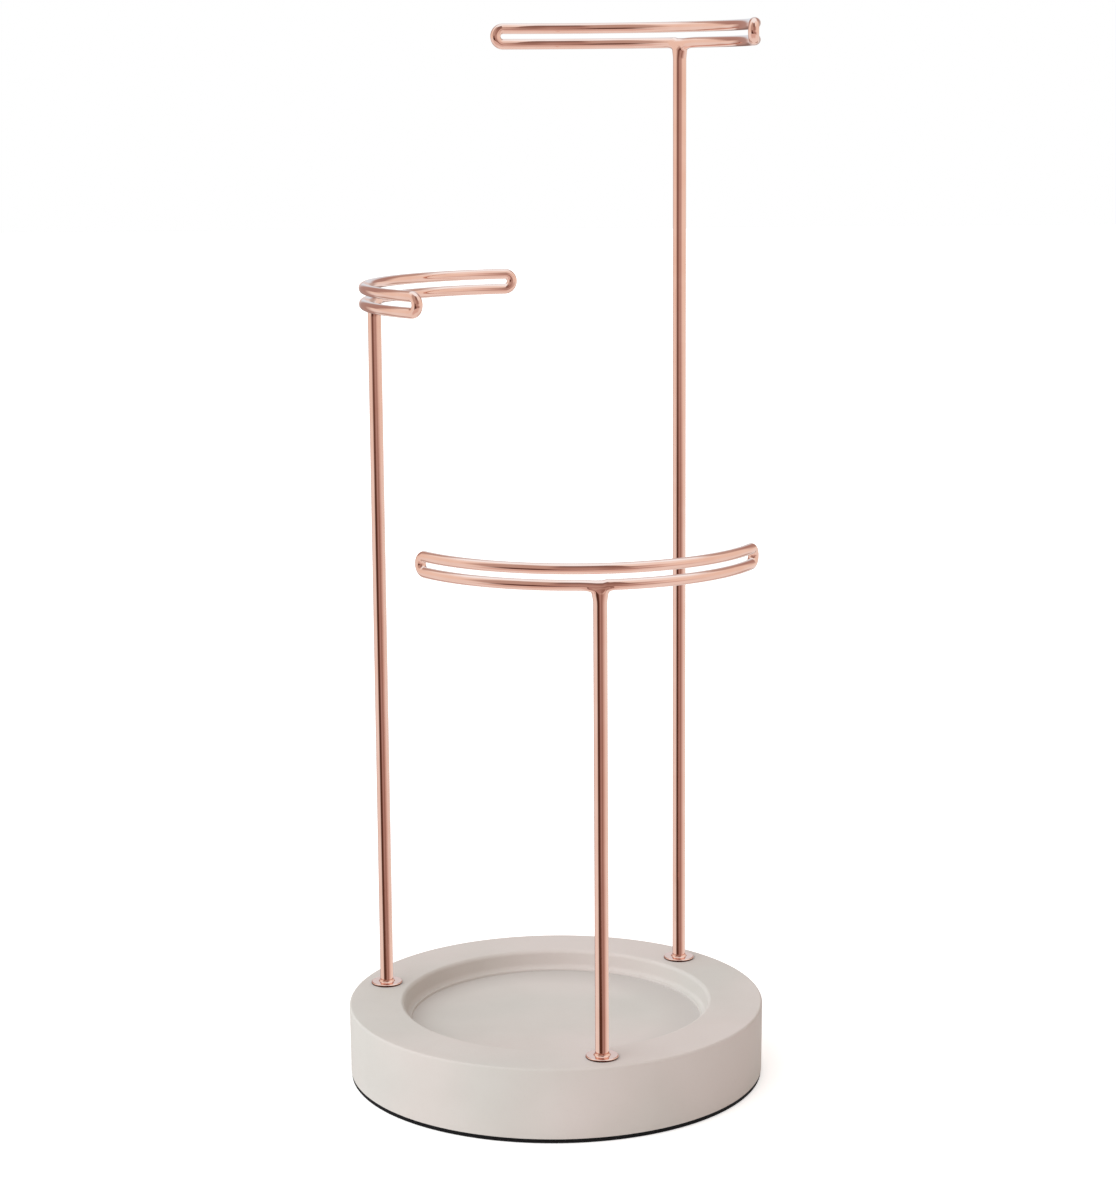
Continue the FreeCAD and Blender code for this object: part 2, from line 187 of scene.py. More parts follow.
# The joint's shape. A pair says where a change starts and where it is complete: along the strand from the
# post's middle, or up from the strand's middle.
FRONT_FLUSH = (-2.4, -0.2)
BELL_NECK = 0.2
NECK_WIDENS = (-6, -2)
BELL_MOUTH = 1.3
MOUTH_WIDENS = (-2.4, -0.4)
FRONT_FILLET = 0.4
SIDE_FILLET = 0.9
FILLET_AT_SIDES = (1, 3)
FILLET_FADES = (-1.4, -0.4)
STRAND_SAG = 0.3
SAG_STARTS = (-8.3, -0.3)
SAG_ENDS = (0.4, 2.6)
TOP_DRESSED = 0.35
DRESSED_STARTS = (-3.6, -0.2)
DRESSED_ENDS = (0.4, 2.2)

# Points closer together than this are one point, and within the next distance of the axis they are on it.
SAME_POINT = 1e-4
ON_AXIS = 1e-6
# Edges that turn by more degrees than this are sharp.
SHARP_EDGE = 35
# Cutting tools reach this far past what they cut.
CUT_PAST = 1
# How many flat sides stand for a round: on the base and the pad, and on the tools that cut their holes.
BASE_SEGMENTS = 288
CUT_SEGMENTS = 64
# The screw's mesh: flat sides round it and layers up it. Vertices belong to a wall when they lie farther from
# the axis than this: a share of the head's radius, and millimetres for the shank. The shank reaches a little
# way into the head.
HEAD_SEGMENTS = 144
HEAD_LAYERS = 14
HEAD_WALL_FROM = 0.9
SHANK_SEGMENTS = 48
SHANK_LAYERS = 200
SHANK_WALL_FROM = 0.5
SHANK_IN_HEAD = 0.2


# ---- Node trees

class Tree:
    """A node tree, with short ways to add a node and to join it to others."""

    def __init__(self, tree):
        self.tree = tree

    def add(self, kind, inputs=None, out=0, **settings):
        """Adds a node, feeds its inputs with values or with other nodes' outputs, and gives its output."""
        node = self.tree.nodes.new(kind)
        for name, value in settings.items():
            setattr(node, name, value)
        for name, value in (inputs or {}).items():
            self.feed(node.inputs[name], value)
        return node.outputs[out]

    def feed(self, socket, value):
        if isinstance(value, bpy.types.NodeSocket):
            self.tree.links.new(value, socket)
        else:
            socket.default_value = value

    def math(self, operation, *values):
        return self.add("ShaderNodeMath", dict(enumerate(values)), operation=operation)

    def mix(self, share, first, second):
        """Goes from the first colour to the second."""
        node = self.tree.nodes.new("ShaderNodeMix")
        node.data_type = "RGBA"
        for place, value in ((0, share), (6, first), (7, second)):
            self.feed(node.inputs[place], value)
        return node.outputs[2]


class ShapeTree(Tree):
    """A Geometry Nodes tree with named sizes. Its sizes are in millimetres."""

    def __init__(self, name, **sizes):
        super().__init__(bpy.data.node_groups.new(name, "GeometryNodeTree"))
        self.tree.is_modifier = True
        self.sizes = sizes
        self.sockets = {}
        for label, value in sizes.items():
            kind = "NodeSocketInt" if isinstance(value, int) else "NodeSocketFloat"
            socket = self.tree.interface.new_socket(label.replace("_", " "), in_out="INPUT", socket_type=kind)
            self.sockets[label] = socket.identifier
        self.tree.interface.new_socket("Shape", in_out="OUTPUT", socket_type="NodeSocketGeometry")
        self.group_input = self.tree.nodes.new("NodeGroupInput")

    def size(self, label):
        return next(s for s in self.group_input.outputs if s.identifier == self.sockets[label])

    def vector(self, x=0.0, y=0.0, z=0.0):
        return self.add("ShaderNodeCombineXYZ", {0: x, 1: y, 2: z})

    def move(self, geometry, offset=None, rotation=(0, 0, 0)):
        """Turns a geometry, in degrees, and then moves it."""
        if not isinstance(rotation, bpy.types.NodeSocket):
            rotation = [math.radians(angle) for angle in rotation]
        inputs = {"Geometry": geometry, "Rotation": rotation}
        if offset is not None:
            inputs["Translation"] = offset
        return self.add("GeometryNodeTransform", inputs)

    def join(self, *geometries):
        node = self.tree.nodes.new("GeometryNodeJoinGeometry")
        for geometry in reversed(geometries):
            self.tree.links.new(geometry, node.inputs[0])
        return node.outputs[0]

    def finish(self, geometry, material):
        """Ends the tree in real geometry with its material."""
        real = self.add("GeometryNodeRealizeInstances", {0: geometry})
        shape = self.add("GeometryNodeSetMaterial", {"Geometry": real, "Material": material})
        output = self.tree.nodes.new("NodeGroupOutput")
        self.tree.links.new(shape, output.inputs[0])

    def mesh(self):
        """The mesh that the tree makes at its sizes."""
        holder = new_object(self.tree.name, bpy.data.meshes.new(self.tree.name))
        modifier = holder.modifiers.new("shape", "NODES")
        modifier.node_group = self.tree
        for label, value in self.sizes.items():
            modifier[self.sockets[label]] = value
        mesh = baked(holder)
        bpy.data.objects.remove(holder)
        return mesh


# ---- Meshes and pieces

def new_object(name, data):
    item = bpy.data.objects.new(name, data)
    bpy.context.scene.collection.objects.link(item)
    return item


def baked(item):
    """The mesh of an object with its modifiers worked in."""
    return bpy.data.meshes.new_from_object(item.evaluated_get(bpy.context.evaluated_depsgraph_get()))


def polygon_mesh(name, points, faces):
    mesh = bpy.data.meshes.new(name)
    mesh.from_pydata([tuple(point) for point in points], [], faces)
    return mesh


def rounded(corners, steps=6):
    """An outline whose corners are (radius, height) or (radius, height, round), with the rounds drawn out."""
    outline = []
    count = len(corners)
    for index, corner_shade in enumerate(corners):
        here = Vector(corner_shade[:2])
        size = corner_shade[2] if len(corner_shade) > 2 else 0
        if not size:
            outline.append(here)
            continue
        before = (Vector(corners[index - 1][:2]) - here).normalized()
        after = (Vector(corners[(index + 1) % count][:2]) - here).normalized()
        half = before.angle(after) / 2
        reach = size / math.tan(half)
        centre = here + (before + after).normalized() * (size / math.sin(half))
        first = here + before * reach - centre
        last = here + after * reach - centre
        sweep = first.angle(last)
        for step in range(steps + 1):
            share = step / steps
            a = math.sin((1 - share) * sweep) / math.sin(sweep)
            b = math.sin(share * sweep) / math.sin(sweep)
            outline.append(centre + first * a + last * b)
    return outline


def turned(name, outline, segments=96):
    """Turns a closed outline round the Z axis. Points on the axis become one."""
    points, rings, faces = [], [], []
    for radius, height in outline:
        if radius < ON_AXIS:
            rings.append([len(points)] * segments)
            points.append((0, 0, height))
            continue
        rings.append(range(len(points), len(points) + segments))
        for number in range(segments):
            angle = 2 * math.pi * number / segments
            points.append((radius * math.cos(angle), radius * math.sin(angle), height))
    for ring, following in zip(rings, rings[1:] + rings[:1]):
        for number in range(segments):
            after = (number + 1) % segments
            corners = [ring[number], ring[after], following[after], following[number]]
            face = list(dict.fromkeys(corners))
            if len(face) > 2:
                faces.append(face)
    mesh = polygon_mesh(name, points, faces)
    face_outwards(mesh)
    return mesh


def face_outwards(mesh):
    """Joins points that lie together, and turns every face outwards."""
    work = bmesh.new()
    work.from_mesh(mesh)
    bmesh.ops.remove_doubles(work, verts=work.verts, dist=SAME_POINT)
    bmesh.ops.recalc_face_normals(work, faces=work.faces)
    work.to_mesh(mesh)
    work.free()


def cut_away(mesh, tools):
    """Takes the tool meshes out of a mesh."""
    body = new_object("body", mesh)
    for tool in tools:
        cutter = new_object("cutter", tool)
        modifier = body.modifiers.new("cut", "BOOLEAN")
        modifier.operation = "DIFFERENCE"
        modifier.solver = "EXACT"
        modifier.object = cutter
    result = baked(body)
    for modifier in list(body.modifiers):
        bpy.data.objects.remove(modifier.object)
    bpy.data.objects.remove(body)
    return result


def arm_place(arm, turned_with_rack=True):
    """From an arm's own millimetres, its post's axis as Z and +X outwards, to metres on the stand."""
    azimuth = math.radians(LOW_AZIMUTH + ARM_STEP * ARMS.index(arm))
    place = Vector((math.cos(azimuth), math.sin(azimuth), 0)) * POST_CIRCLE * MM
    yaw = azimuth + (math.radians(TURN[arm]) if turned_with_rack else 0)
    return Matrix.Translation(place) @ Matrix.Rotation(yaw, 4, "Z") @ Matrix.Scale(MM, 4)


def piece(name, mesh, place, body, material, slot, *nodes, mirrored=False):
    """Puts a finished mesh on its body, in place of its CAD nodes. Bright metal mirrors it or not."""
    mesh.transform(place)
    mesh.materials.clear()
    mesh.materials.append(material)
    for face in mesh.polygons:
        face.use_smooth = True
        face.material_index = 0
    mesh.set_sharp_from_angle(angle=math.radians(SHARP_EDGE))
    item = new_object(name, mesh)
    flats = item.modifiers.new("flats", "WEIGHTED_NORMAL")
    flats.keep_sharp = True
    item.data = baked(item)
    item.modifiers.clear()
    item.data.name = name
    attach(item, body)
    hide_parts(*nodes)
    item.visible_glossy = mirrored


# ---- Finishes

# Painted shade on the tray's floor, darker towards its wall, in metres: the middle it is measured from, and
# how far from there it starts and is full. It lies below one height and within one distance, each with a soft
# end.
TRAY_SHADE_MIDDLE = (-0.005, -0.002, 0)
TRAY_SHADE_EDGE = (0.040, 0.056)
TRAY_SHADE_BELOW = ((TRAY_FLOOR + 0.3) * MM, (TRAY_FLOOR + 0.5) * MM)
TRAY_SHADE_WITHIN = (0.062, 0.063)
# The flange's edge is painted dark brown below this height, with a soft end: painted shade in the gap above
# the stone.
FLANGE_SHADE_BELOW = ((BASE_TOP + 0.5) * MM, (BASE_TOP + 0.56) * MM)


class Finish(Tree):
    """A material whose pattern follows the piece's own place, in metres."""

    def __init__(self, name):
        material = bpy.data.materials.new(name)
        material.use_nodes = True
        super().__init__(material.node_tree)
        self.material = material
        self.surface = material.node_tree.nodes["Principled BSDF"]
        self.place = self.add("ShaderNodeTexCoord", out="Object")

    def set(self, **values):
        for name, value in values.items():
            self.feed(self.surface.inputs[name.replace("_", " ")], value)

    def height(self):
        return self.add("ShaderNodeSeparateXYZ", {0: self.place}, out=2)

    def noise(self, scale, detail):
        return self.add("ShaderNodeTexNoise", {"Vector": self.place, "Scale": scale, "Detail": detail})

    def cells(self, scale):
        return self.add("ShaderNodeTexVoronoi", {"Vector": self.place, "Scale": scale}, out="Distance")

    def range(self, value, low, high, to_low=0, to_high=1):
        inputs = {0: value, 1: low, 2: high, 3: to_low, 4: to_high}
        return self.add("ShaderNodeMapRange", inputs)

    def bump(self, height, distance, under=None):
        """Raises the surface by a height from 0 to 1 times a distance in metres."""
        inputs = {"Height": height, "Distance": distance, "Strength": 1.0}
        if under is not None:
            inputs["Normal"] = under
        return self.add("ShaderNodeBump", inputs)


def colour(red, green, blue):
    """A colour as a screen shows it, from 0 to 255, as the shader takes it."""
    parts = []
    for part in (red, green, blue):
        share = part / 255
        parts.append(share / 12.92 if share <= 0.04045 else ((share + 0.055) / 1.055) ** 2.4)
    return (*parts, 1.0)


def cast_stone():
    """Warm grey cast stone, honed: faint clouds that drift from grey to rosy, fine sand grains and small
    pinholes. Painted shade darkens the tray's floor towards its wall."""
    look = Finish("cast stone")
    clouds = look.range(look.noise(22, 4), 0.35, 0.65)
    drift = look.range(look.noise(12, 2), 0.38, 0.62)
    sand = look.noise(1500, 3)
    rosy = look.mix(clouds, colour(210, 201, 196), colour(216, 208, 204))
    grey = look.mix(clouds, colour(206, 203, 198), colour(212, 210, 205))
    tone = look.mix(drift, grey, rosy)
    # Painted shade: the tray's floor darkens towards its wall, round a middle a little off the axis.
    flat = look.add("ShaderNodeVectorMath", {0: look.place, 1: (1, 1, 0)}, operation="MULTIPLY")
    ends = {0: flat, 1: TRAY_SHADE_MIDDLE}
    from_middle = look.add("ShaderNodeVectorMath", ends, "Value", operation="DISTANCE")
    corner_shade = look.range(from_middle, *TRAY_SHADE_EDGE)
    low = look.range(look.height(), *TRAY_SHADE_BELOW, 1, 0)
    inside = look.range(from_middle, *TRAY_SHADE_WITHIN, 1, 0)
    in_tray = look.math("MULTIPLY", low, inside)
    tone = look.mix(look.math("MULTIPLY", corner_shade, in_tray), tone, colour(200, 195, 191))
    grains = look.range(sand, 0.62, 0.74, 0, 0.10)
    tone = look.mix(grains, tone, colour(182, 173, 166))
    pinholes = look.range(look.cells(420), 0.03, 0.09)
    ground = look.bump(look.noise(260, 4), 0.04 * MM)
    sanded = look.bump(sand, 0.025 * MM, ground)
    look.set(
        Base_Color=tone,
        Roughness=look.range(sand, 0.3, 0.7, 0.62, 0.74),
        Specular_IOR_Level=0.35,
        Normal=look.bump(pinholes, 0.04 * MM, sanded),
    )
    return look.material


def copper_plate():
    """Bright copper plating over polished wire: a little orange peel, and faint drawing marks. A flange's
    edge is painted dark brown low down, as shade in the gap between it and the stone."""
    look = Finish("copper plate")
    shade = look.noise(90, 3)
    tone = look.mix(look.range(shade, 0.3, 0.7), colour(241, 199, 184), colour(237, 191, 174))
    # Painted shade: the flange's edge is dark brown in the gap above the stone, so it mirrors dark.
    gap_shade = look.range(look.height(), *FLANGE_SHADE_BELOW, 1, 0)
    tone = look.mix(gap_shade, tone, colour(84, 50, 40))
    haze = look.noise(700, 4)
    look.set(
        Base_Color=tone,
        Metallic=1.0,
        Roughness=look.range(haze, 0.3, 0.7, 0.035, 0.06),
        Normal=look.bump(look.noise(480, 2), 0.006 * MM),
    )
    return look.material


def pad_rubber():
    """Black foam rubber with a closed skin of fine cells."""
    look = Finish("pad rubber")
    speck = look.noise(900, 3)
    tone = look.mix(look.range(speck, 0.4, 0.7), (0.005, 0.005, 0.006, 1), (0.012, 0.012, 0.013, 1))
    look.set(
        Base_Color=tone,
        Roughness=look.range(speck, 0.3, 0.7, 0.82, 0.95),
        Specular_IOR_Level=0.2,
        Normal=look.bump(look.cells(1600), 0.08 * MM),
    )
    return look.material


def turned_brass():
    """Brass turned on a lathe, with fine rings left by the tool."""
    look = Finish("sleeve brass")
    rings = look.add(
        "ShaderNodeTexWave",
        {"Vector": look.place, "Scale": 1400.0, "Distortion": 0.6},
        wave_type="BANDS", bands_direction="Z",
    )
    shade = look.noise(160, 3)
    tone = look.mix(look.range(shade, 0.3, 0.7), colour(214, 180, 112), colour(200, 164, 98))
    look.set(
        Base_Color=tone,
        Metallic=1.0,
        Roughness=look.range(shade, 0.3, 0.7, 0.26, 0.36),
        Normal=look.bump(rings, 0.004 * MM),
    )
    return look.material


def zinc_steel():
    """Steel with a bright zinc coat: cool, slightly cloudy, with fine rolled marks."""
    look = Finish("zinc steel")
    clouds = look.noise(420, 4)
    tone = look.mix(look.range(clouds, 0.35, 0.65), colour(176, 180, 184), colour(198, 200, 200))
    look.set(
        Base_Color=tone,
        Metallic=1.0,
        Roughness=look.range(clouds, 0.3, 0.7, 0.26, 0.42),
        Normal=look.bump(look.noise(2600, 3), 0.006 * MM),
    )
    return look.material


CAST_STONE = cast_stone()
COPPER = copper_plate()
RUBBER = pad_rubber()
BRASS = turned_brass()
STEEL = zinc_steel()


# ---- Camera

# It stands just under a metre in front, almost as high as the top rack, and looks slightly down. Its angles
# are in degrees, its lens and sensor in millimetres.
CAMERA_PLACE = Vector((1.0645, -975.48, 358.54)) * MM
CAMERA_PAN = 0.046
CAMERA_PITCH = 10.401
CAMERA_ROLL = -0.4056
CAMERA_LENS = 84.049
SENSOR_WIDTH = 36
# It sees nothing nearer or farther than this, in metres.
NEAREST = 0.05
FARTHEST = 50


def make_camera():
    data = bpy.data.cameras.new("camera")
    data.sensor_width = SENSOR_WIDTH
    data.lens = CAMERA_LENS
    data.clip_start = NEAREST
    data.clip_end = FARTHEST
    camera = new_object("camera", data)
    pan, pitch, roll = (math.radians(a) for a in (CAMERA_PAN, CAMERA_PITCH, CAMERA_ROLL))
    forward = Vector((math.sin(pan) * math.cos(pitch), math.cos(pan) * math.cos(pitch), -math.sin(pitch)))
    right = Vector((math.cos(pan), -math.sin(pan), 0))
    up = right.cross(forward)
    side = right * math.cos(roll) + up * math.sin(roll)
    top = up * math.cos(roll) - right * math.sin(roll)
    turn = Matrix((side, top, -forward)).transposed().to_4x4()
    camera.matrix_world = Matrix.Translation(CAMERA_PLACE) @ turn
    bpy.context.scene.camera = camera


make_camera()


# ---- Base and pad

def well_tools(name, outline):
    """One cutting tool below each post."""
    tools = []
    for arm in ARMS:
        tool = turned(name, outline, CUT_SEGMENTS)
        tool.transform(Matrix.Scale(1 / MM, 4) @ arm_place(arm))
        tools.append(tool)
    return tools


def make_base():
    """Round casting with the ring tray in its top, and a stepped well right through it at each post."""
    ledge = TRAY_FLOOR + TRAY_LEDGE_HEIGHT
    outline = rounded([
        (0, BASE_FOOT),
        (BASE_RADIUS - BASE_DRAFT, BASE_FOOT, BASE_FOOT_ROUND),
        (BASE_RADIUS, BASE_TOP, BASE_EDGE_ROUND),
        (TRAY_RADIUS, BASE_TOP, TRAY_LIP_ROUND),
        (TRAY_RADIUS - TRAY_SLOPE, ledge, TRAY_COVE),
        (TRAY_FLOOR_RADIUS, ledge, TRAY_LEDGE_ROUND),
        (TRAY_FLOOR_RADIUS - TRAY_LEDGE_DRAFT, TRAY_FLOOR, TRAY_LEDGE_FOOT_ROUND),
        (0, TRAY_FLOOR),
    ], steps=10)
    shape = turned("base", outline, BASE_SEGMENTS)
    well = rounded([
        (0, 0),
        (WELL_RADIUS + WELL_CHAMFER, 0),
        (WELL_RADIUS + WELL_CHAMFER, BASE_FOOT),
        (WELL_RADIUS, BASE_FOOT + WELL_CHAMFER),
        (WELL_RADIUS, WELL_TOP),
        (BORE_RADIUS, WELL_TOP),
        (BORE_RADIUS, BASE_TOP + CUT_PAST),
        (0, BASE_TOP + CUT_PAST),
    ])
    shape = cut_away(shape, well_tools("well", well))
    piece("base_casting", shape, Matrix.Scale(MM, 4), "base", CAST_STONE, "cast_stone", "base")


def make_pad():
    """Disc under the base, with a hole below each well."""
    outline = rounded([
        (0, 0),
        (PAD_RADIUS, 0, PAD_FOOT_ROUND),
        (PAD_RADIUS, BASE_FOOT, PAD_TOP_ROUND),
        (0, BASE_FOOT),
    ], steps=5)
    shape = turned("pad", outline, BASE_SEGMENTS)
    hole = [
        (0, -CUT_PAST),
        (PAD_HOLE_RADIUS, -CUT_PAST),
        (PAD_HOLE_RADIUS, BASE_FOOT + CUT_PAST),
        (0, BASE_FOOT + CUT_PAST),
    ]
    shape = cut_away(shape, well_tools("pad hole", hole))
    piece("non_slip_pad", shape, Matrix.Scale(MM, 4), "base", RUBBER, "pad_rubber", "pad")


make_base()
make_pad()


# ---- Racks and posts

def rack_tree():
    """Closed loop of wire: two long strands on an arc, and a half ring that joins them at each end."""
    tree = ShapeTree(
        "rack loop", Bend_radius=POST_CIRCLE, Half_angle=RACK_HALF_ANGLE,
        Strand_spacing=STRAND_SPACING, Wire_radius=WIRE_RADIUS, Joint_angle=JOINT_ANGLE,
        Strand_points=60, Joint_points=60, Bend_points=25, Round_points=48,
    )
    radius = tree.size("Bend_radius")
    half_gap = tree.math("DIVIDE", tree.size("Strand_spacing"), 2.0)
    half_angle = tree.math("RADIANS", tree.size("Half_angle"))
    joint_angle = tree.math("RADIANS", tree.size("Joint_angle"))

    def arc(points, radius, start, sweep):
        inputs = {"Resolution": points, "Radius": radius, "Start Angle": start, "Sweep Angle": sweep}
        return tree.add("GeometryNodeCurveArc", inputs, mode="RADIUS")

    def strand(up, points, start, end):
        line = arc(tree.size(points), radius, start, tree.math("SUBTRACT", end, start))
        return tree.move(line, tree.vector(z=tree.math("MULTIPLY", half_gap, float(up))))

    def bend(side):
        half_ring = arc(tree.size("Bend_points"), half_gap, math.radians(-90), math.radians(180))
        upright = tree.move(half_ring, tree.vector(x=radius), (90, 0, 90 * side))
        turn = tree.vector(z=tree.math("MULTIPLY", half_angle, float(side)))
        return tree.move(upright, None, turn)

    left, right = half_angle, tree.math("MULTIPLY", half_angle, -1.0)
    joint_left, joint_right = joint_angle, tree.math("MULTIPLY", joint_angle, -1.0)
    lines = tree.join(
        strand(1, "Strand_points", right, left),
        strand(-1, "Strand_points", right, joint_right),
        strand(-1, "Joint_points", joint_right, joint_left),
        strand(-1, "Strand_points", joint_left, left),
        bend(1),
        bend(-1),
    )
    edges = tree.add("GeometryNodeCurveToMesh", {"Curve": lines})
    joined = tree.add("GeometryNodeMergeByDistance", {"Geometry": edges, "Distance": LINE_ENDS_MEET})
    path = tree.add("GeometryNodeMeshToCurve", {"Mesh": joined})
    section = tree.add(
        "GeometryNodeCurvePrimitiveCircle",
        {"Resolution": tree.size("Round_points"), "Radius": tree.size("Wire_radius")}, mode="RADIUS",
    )
    wire = tree.add("GeometryNodeCurveToMesh", {"Curve": path, "Profile Curve": section})
    centre = tree.vector(x=tree.math("MULTIPLY", radius, -1.0))
    tree.finish(tree.move(wire, centre), COPPER)
    return tree


RACKS = rack_tree()


def ramp(value, start, end):
    """Rises smoothly from 0 at start to 1 at end."""
    share = np.clip((value - start) / (end - start), 0, 1)
    return share * share * (3 - 2 * share)


def brazed_skin(points, strand_height):
    """Distance out of the brazed joint's surface. The post's end widens along the strand like a bell, and its
    front comes back flush with the strand. The strand's two ends meet on the post: the one at -Y sags to it a
    little, and its top is dressed down."""
    x, y, z = points.T
    sag = STRAND_SAG * ramp(y, *SAG_STARTS) * (1 - ramp(y, *SAG_ENDS))
    dressed = TOP_DRESSED * ramp(y, *DRESSED_STARTS) * (1 - ramp(y, *DRESSED_ENDS))
    up = z - strand_height + sag
    upper = np.clip(up / WIRE_RADIUS, 0, 1)
    strand = np.hypot(np.hypot(x + POST_CIRCLE, y) - POST_CIRCLE, up) - WIRE_RADIUS + dressed * upper ** 2
    depth = POST_RADIUS - (POST_RADIUS - WIRE_RADIUS) * ramp(up, *FRONT_FLUSH)
    width = POST_RADIUS * (1 + BELL_NECK * ramp(up, *NECK_WIDENS) + BELL_MOUTH * ramp(up, *MOUTH_WIDENS))
    above = np.maximum(up, 0) / WIRE_RADIUS
    post = (np.hypot(np.hypot(x / depth, y / width), above) - 1) * depth
    at_sides = ramp(np.abs(y), *FILLET_AT_SIDES)
    fillet = FRONT_FILLET + SIDE_FILLET * (1 - ramp(up, *FILLET_FADES)) * at_sides
    blend = np.maximum(fillet - np.abs(strand - post), 0)
    return np.minimum(strand, post) - blend ** 2 / (4 * fillet)


def slope(distance, points, step=1e-3):
    """Which way a distance grows, and how fast."""
    parts = []
    for axis in np.eye(3) * step:
        parts.append((distance(points + axis) - distance(points - axis)) / (2 * step))
    return np.stack(parts, axis=1)


def settle(points, distance, times=3, least=0.05):
    """Moves points on to the surface where the distance is nothing, with care where it hardly changes."""
    for _ in range(times):
        lean = slope(distance, points)
        lean /= np.maximum((lean ** 2).sum(axis=1, keepdims=True), least)
        points = points - lean * distance(points)[:, None]
    return points


def relax(verts, distance, times):
    """Spreads vertices evenly over the surface: each goes half way to the middle of its neighbours."""
    index = {vert: number for number, vert in enumerate(verts)}
    pairs = []
    for vert in verts:
        for edge in vert.link_edges:
            pairs.append((index[vert], edge.other_vert(vert)))
    rim = sorted({other for _, other in pairs if other not in index}, key=lambda vert: vert.index)
    for vert in rim:
        index[vert] = len(index)
    owners = np.array([owner for owner, _ in pairs])
    others = np.array([index[other] for _, other in pairs])
    points = np.array([vert.co for vert in verts + rim])
    counts = np.bincount(owners, minlength=len(verts))[:, None]
    for _ in range(times):
        sums = np.zeros((len(verts), 3))
        np.add.at(sums, owners, points[others])
        moved = (points[:len(verts)] + sums / counts) / 2
        points[:len(verts)] = settle(moved, distance, 1)
    points[:len(verts)] = settle(points[:len(verts)], distance)
    for vert, point in zip(verts, points):
        vert.co = point


def opening_loop(work):
    """The vertices round the one opening in a mesh, in order."""
    edges = [edge for edge in work.edges if len(edge.link_faces) == 1]
    following = {}
    for edge in edges:
        for vert in edge.verts:
            following.setdefault(vert, []).append(edge.other_vert(vert))
    start = max(following, key=lambda vert: vert.co.x - abs(vert.co.y))
    loop = [start]
    after = max(following[start], key=lambda vert: vert.co.y)
    while after is not start:
        loop.append(after)
        after = next(v for v in following[loop[-1]] if v is not loop[-2])
    return loop


def add_ring(work, loop, points):
    """Adds a ring of vertices and joins it to the loop before it."""
    ring = [work.verts.new(point) for point in points]
    count = len(loop)
    for number in range(count):
        after = (number + 1) % count
        work.faces.new((loop[number], loop[after], ring[after], ring[number]))
    return ring


def rack_mesh(height):
    """Rack and the top of its post as one skin: the lower strand opens and flows down into the post."""
    strand_height = height - STRAND_SPACING / 2

    def distance(points):
        return brazed_skin(points, strand_height)

    work = bmesh.new()
    work.from_mesh(RACKS.mesh())
    bmesh.ops.translate(work, verts=work.verts, vec=(0, 0, height))

    opened = []
    for face in work.faces:
        x, y, z = face.calc_center_median()
        across = math.hypot(x + POST_CIRCLE, y) - POST_CIRCLE
        turn = math.degrees(math.atan2(abs(across), strand_height - z))
        if abs(y) < JOINT_OPENING and z < height and turn < JOINT_OPENING_TURN:
            opened.append(face)
    bmesh.ops.delete(work, geom=opened, context="FACES")

    loop = opening_loop(work)
    count = len(loop)
    angles = [2 * math.pi * number / count for number in range(count)]

    def post_ring(radius, level):
        return [Vector((radius * math.cos(a), radius * math.sin(a), level)) for a in angles]

    starts = [vert.co.copy() for vert in loop]
    ends = post_ring(POST_RADIUS, strand_height - JOINT_DEPTH)
    for step in range(1, JOINT_RINGS + 1):
        share = step / JOINT_RINGS
        loop = add_ring(work, loop, [a.lerp(b, share) for a, b in zip(starts, ends)])
    work.verts.index_update()
    near = []
    for vert in work.verts:
        if abs(vert.co.y) < JOINT_REACH and vert.co.z < height and vert.co.x > JOINT_BACK:
            near.append(vert)
    held = set(loop)
    joint = [v for v in near if v not in held and abs(v.co.y) < JOINT_OPENING + RELAX_PAST]
    for vert, point in zip(near, settle(np.array([v.co for v in near]), distance)):
        vert.co = point
    relax(joint, distance, RELAX_TIMES)

    tip = work.verts.new((0, 0, strand_height - JOINT_DEPTH))
    for number in range(count):
        work.faces.new((loop[number], loop[(number + 1) % count], tip))
    bmesh.ops.recalc_face_normals(work, faces=work.faces)
    mesh = bpy.data.meshes.new("rack")
    work.to_mesh(mesh)
    work.free()
    return mesh


def make_rack(arm):
    mesh = rack_mesh(RACK_HEIGHT[arm])
    piece("bent_rack_" + arm, mesh, arm_place(arm), "arm_" + arm, COPPER, "copper_plate", "rack_" + arm)


def make_post(arm):
    """Round bar from the rack's joint down to the screw's tapped hole."""
    joint = RACK_HEIGHT[arm] - STRAND_SPACING / 2 - JOINT_DEPTH
    outline = [
        (0, TAPPED_TOP + DRILL_POINT),
        (TAPPED_RADIUS, TAPPED_TOP),
        (TAPPED_RADIUS, POST_FOOT + TAPPED_CHAMFER),
        (TAPPED_RADIUS + TAPPED_CHAMFER, POST_FOOT),
        (POST_RADIUS - POST_CHAMFER, POST_FOOT),
        (POST_RADIUS, POST_FOOT + POST_CHAMFER),
        (POST_RADIUS, joint),
        (0, joint),
    ]
    mesh = turned("post", outline)
    name = "round_post_" + arm
    piece(name, mesh, arm_place(arm), "arm_" + arm, COPPER, "copper_plate", "post_" + arm, mirrored=True)


for arm in ARMS:
    make_rack(arm)
    make_post(arm)


# ---- Flanges, sleeves, washers and screws

